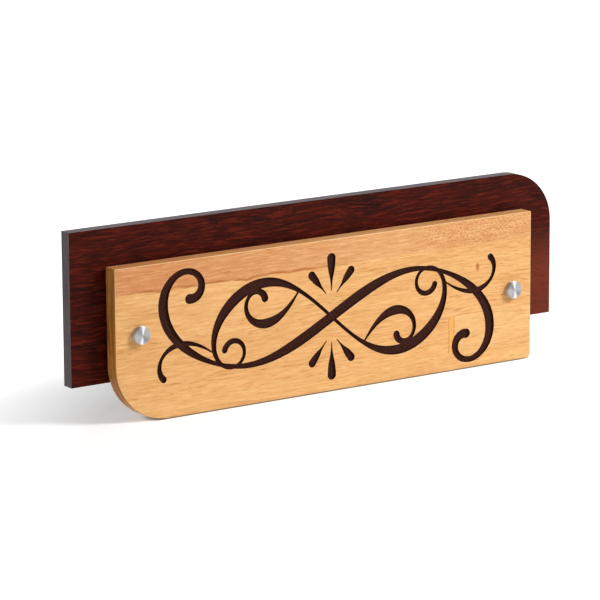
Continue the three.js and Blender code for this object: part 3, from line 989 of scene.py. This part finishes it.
class PLATE_OT_stage(bpy.types.Operator):
    """Sets the floor, the lamps, the even light and the camera"""
    bl_idname = "plate.stage"
    bl_label = "Stage"

    def execute(self, context):
        scene = context.scene
        settings = scene.plate_stage
        floor_height = CAD_BOX[0][2]
        make_floor(floor_height, settings)
        make_world(settings.world_strength, settings.room_strength)
        lamps = [
            ("key_lamp", (1.5, -1.5, 1.5), 0.9, settings.key_power),
            ("fill_lamp", (-1.6, -2.0, 0.9), 1.6, settings.fill_power),
        ]
        for name, place, size, power in lamps:
            make_lamp(name, place, size, power)
        make_camera()
        scene.view_settings.view_transform = "Standard"
        return {"FINISHED"}


def make_floor(height, settings):
    """A white floor that takes the plate's shadow. A glow, seen only by the camera, in mirrors and through
    clear pieces, lifts the lit floor to the white of the background and lights nothing. It is held back
    under the front board and just round its foot, which paints shade there, and a painted contact shadow
    darkens the floor's colour along that foot too. The glow rises behind the plate, which paints the cast
    shadow fading out."""
    half = 6.0
    below = 0.1 * MM
    plate_reach = 900
    # The glow rises along the way the shadow falls, behind the plate, and paints the cast shadow fading out
    shadow_way = Vector((-1, 1, 0)).normalized()
    shadow_end, shadow_thins = 236, 140
    rounded_end, square_end = 28 * MM, 10 * MM
    glow_fades, painted_contact_shadow_fades = (12, 4), (12, 2.5)
    shape = bmesh.new()
    corners = ((-half, -half), (half, -half), (half, half), (-half, half))
    shape.faces.new([shape.verts.new((x, y, height - below)) for x, y in corners])
    floor = mesh_from(shape, "floor")
    material, tree = blank_material("matt_white_floor")
    place = millimetre_coordinates(tree)
    near = soft_patch(tree, place, (0, 0, height / MM), (plate_reach, plate_reach, plate_reach))
    away = add(tree, "ShaderNodeVectorMath", [place, shadow_way], operation="DOT_PRODUCT")
    behind = add(tree, "ShaderNodeMapRange", [away.outputs["Value"], shadow_end, shadow_thins])
    close = add(tree, "ShaderNodeMath", [near, behind], operation="MULTIPLY")
    lift = add(tree, "ShaderNodeMapRange", {0: close, 3: settings.far_floor_lift, 4: settings.floor_lift})
    low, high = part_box("front_stave_bottom")
    low = low + Vector((rounded_end, 0, 0))
    high = high - Vector((square_end, 0, 0))
    # The glow held back along the front board's foot paints shade there
    painted_foot_shade = footprint(tree, place, low, high, glow_fades)
    # Painted contact shadow: a grey line in the floor's colour along the front board's foot
    painted_contact_shadow = footprint(tree, place, low, high, painted_contact_shadow_fades)
    finish = laid_over(tree, (*settings.floor_tone, 1.0), (*settings.painted_contact_shadow_tone, 1.0), painted_contact_shadow)
    open_floor = add(tree, "ShaderNodeMapRange", {0: painted_foot_shade, 3: 1.0, 4: 0.0})
    for share in (looked_at(tree), open_floor):
        lift = add(tree, "ShaderNodeMath", [lift, share], operation="MULTIPLY")
    shade(tree, {"Base Color": finish, "Roughness": 1.0, "Specular IOR Level": 0.0,
                 "Emission Color": (1, 1, 1, 1), "Emission Strength": lift})
    floor.data.materials.append(material)


def footprint(tree, place, low, high, margins):
    """1 on the floor between two corners in metres, falling to 0 over margins in millimetres round them."""
    parts = add(tree, "ShaderNodeSeparateXYZ", [place]).outputs
    shares = []
    for axis, margin in enumerate(margins):
        middle = (low[axis] + high[axis]) / 2 / MM
        half = (high[axis] - low[axis]) / 2 / MM
        shares.append(near_plane(tree, parts[axis], middle, half + margin, half / (half + margin)))
    return add(tree, "ShaderNodeMath", [shares[0], shares[1]], operation="MULTIPLY")


def looked_at(tree):
    """1 for rays from the camera, off mirrors and through clear pieces, 0 for rays that light things."""
    path = add(tree, "ShaderNodeLightPath").outputs
    first = add(tree, "ShaderNodeMath", [path["Is Camera Ray"], path["Is Glossy Ray"]],
                operation="MAXIMUM")
    return add(tree, "ShaderNodeMath", [first, path["Is Transmission Ray"]], operation="MAXIMUM")


def make_world(strength, room):
    """Even light for matt surfaces, and a white background behind the plate. The side that the plate faces
    is a dimmer room, so that its metal and its lacquer don't mirror white from all round."""
    world = bpy.data.worlds.new("studio")
    world.use_nodes = True
    tree = world.node_tree
    tree.nodes.clear()
    path = add(tree, "ShaderNodeLightPath").outputs
    way = add(tree, "ShaderNodeSeparateXYZ", [add(tree, "ShaderNodeTexCoord").outputs["Generated"]])
    mirrored = add(tree, "ShaderNodeMapRange", [way.outputs["Y"], -0.3, 0.3, room])
    open_to_view = add(tree, "ShaderNodeMath", [path["Is Camera Ray"], path["Is Transmission Ray"]],
                       operation="MAXIMUM")
    matt_or_mirror = add(tree, "ShaderNodeMix", {0: path["Is Glossy Ray"], 2: strength, 3: mirrored})
    whole = add(tree, "ShaderNodeMix", {0: open_to_view, 2: matt_or_mirror, 3: 1.0})
    light = add(tree, "ShaderNodeBackground", {"Color": (1, 1, 1, 1), "Strength": whole})
    add(tree, "ShaderNodeOutputWorld", {"Surface": light})
    bpy.context.scene.world = world


def make_lamp(name, place, size, power):
    """A square lamp that points at the middle of the front board."""
    aim = Vector((0, -0.02, -0.015))
    lamp = bpy.data.lights.new(name, "AREA")
    lamp.shape = "SQUARE"
    lamp.size = size
    lamp.energy = power
    made = bpy.data.objects.new(name, lamp)
    made.location = place
    made.rotation_euler = (aim - Vector(place)).to_track_quat("-Z", "Y").to_euler()
    bpy.context.scene.collection.objects.link(made)


def make_camera():
    """The camera that the photograph was taken from, found from the boards' corners."""
    place = (-1.55486, -2.29062, 0.59105)
    yaw, pitch, roll = 0.59270, 0.21811, -0.00551
    turns = [(-yaw, "Z"), (math.pi / 2 - pitch, "X"), (roll, "Z")]
    focal_pixels, photo_width = 3579.9, 600
    lens = bpy.data.cameras.new("photo_camera")
    lens.sensor_width = 36.0
    lens.lens = focal_pixels / photo_width * lens.sensor_width
    lens.clip_end = 50.0
    camera = bpy.data.objects.new("photo_camera", lens)
    posture = Matrix.Translation(place)
    for angle, axis in turns:
        posture = posture @ Matrix.Rotation(angle, 4, axis)
    camera.matrix_world = posture
    bpy.context.scene.collection.objects.link(camera)
    bpy.context.scene.camera = camera


class PLATE_PT_panel(bpy.types.Panel):
    """Lists the steps that build the name plate"""
    bl_idname = "PLATE_PT_panel"
    bl_label = "Name plate"
    bl_space_type = "VIEW_3D"
    bl_region_type = "UI"
    bl_category = "Name plate"

    def draw(self, context):
        for step in STEPS:
            self.layout.operator(step.bl_idname)


STEPS = [
    PLATE_OT_stage,
    PLATE_OT_front_board,
    PLATE_OT_back_board,
    PLATE_OT_caps,
    PLATE_OT_plain_fittings,
    PLATE_OT_screws,
]
GROUPS = {
    "plate_boards": BoardSizes,
    "plate_engraving": EngravingSizes,
    "plate_fixings": FixingSizes,
    "plate_colours": PlateColours,
    "plate_stage": StageSettings,
}


def register():
    for kind in [*GROUPS.values(), *STEPS, PLATE_PT_panel]:
        bpy.utils.register_class(kind)
    for name, kind in GROUPS.items():
        setattr(bpy.types.Scene, name, PointerProperty(type=kind))


def unregister():
    for name in GROUPS:
        delattr(bpy.types.Scene, name)
    for kind in reversed([*GROUPS.values(), *STEPS, PLATE_PT_panel]):
        bpy.utils.unregister_class(kind)


def main():
    register()
    bpy.ops.plate.stage()
    bpy.ops.plate.front_board()
    bpy.ops.plate.back_board()
    bpy.ops.plate.caps()
    bpy.ops.plate.plain_fittings()
    bpy.ops.plate.screws()


if __name__ == "__main__":
    main()
